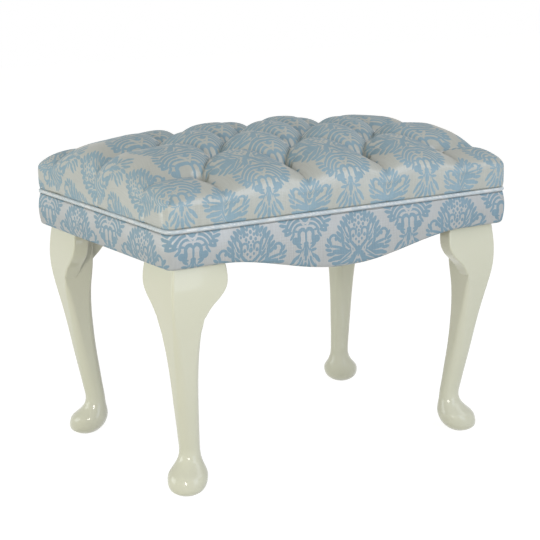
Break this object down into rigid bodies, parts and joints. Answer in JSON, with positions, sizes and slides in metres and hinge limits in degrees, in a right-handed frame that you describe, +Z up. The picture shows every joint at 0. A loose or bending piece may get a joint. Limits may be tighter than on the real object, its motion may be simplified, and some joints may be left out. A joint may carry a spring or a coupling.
{
  "type": "vanity stool",
  "caption": "Low rectangular dressing stool: deep-buttoned damask seat over a piped, shaped border, on painted cabriole legs with club feet and knee brackets.",
  "frame": {"origin": "on the floor at the centre of the stool's plan, under the middle of the seat", "axes": "+X along the seat's long side, to the right seen from the front; +Y from the front to the back; +Z up"},
  "size_m": [0.577, 0.409, 0.477],
  "materials": {
    "cream_paint": "cream gloss paint on turned and carved hardwood",
    "frame_timber": "planed beech, unfinished",
    "plywood": "plain plywood",
    "damask": "satin damask weave, silver ground and blue figure",
    "piping_damask": "damask cut on the bias over a cord",
    "wadding": "polyester wadding",
    "seat_foam": "cut polyurethane foam",
    "black_cloth": "spun-bonded bottom cloth",
    "waxed_twine": "waxed linen twine",
    "card": "brown card",
    "zinc_steel": "bright zinc plate"
  },
  "bodies": {
    "root": {"leg_front_left": "cream_paint", "leg_front_right": "cream_paint", "leg_back_left": "cream_paint", "leg_back_right": "cream_paint", "knee_brackets_front_left": "cream_paint", "knee_brackets_front_right": "cream_paint", "knee_brackets_back_left": "cream_paint", "knee_brackets_back_right": "cream_paint", "rail_front": "frame_timber", "rail_back": "frame_timber", "rail_left": "frame_timber", "rail_right": "frame_timber", "corner_blocks": "frame_timber", "block_screws": "zinc_steel", "rail_dowels": "frame_timber", "hanger_bolts": "zinc_steel", "bolt_washers": "zinc_steel", "bolt_nuts": "zinc_steel", "seat_board": "plywood", "seat_board_screws": "zinc_steel", "foam_pad": "seat_foam", "seat_cover": "damask", "cover_buttons": "damask", "button_twines": "waxed_twine", "twine_anchors": "zinc_steel", "piping": "piping_damask", "tack_strip": "card", "border_wadding": "wadding", "border_cover": "damask", "bottom_cloth": "black_cloth", "cloth_staples": "zinc_steel"}
  },
  "joints": []
}
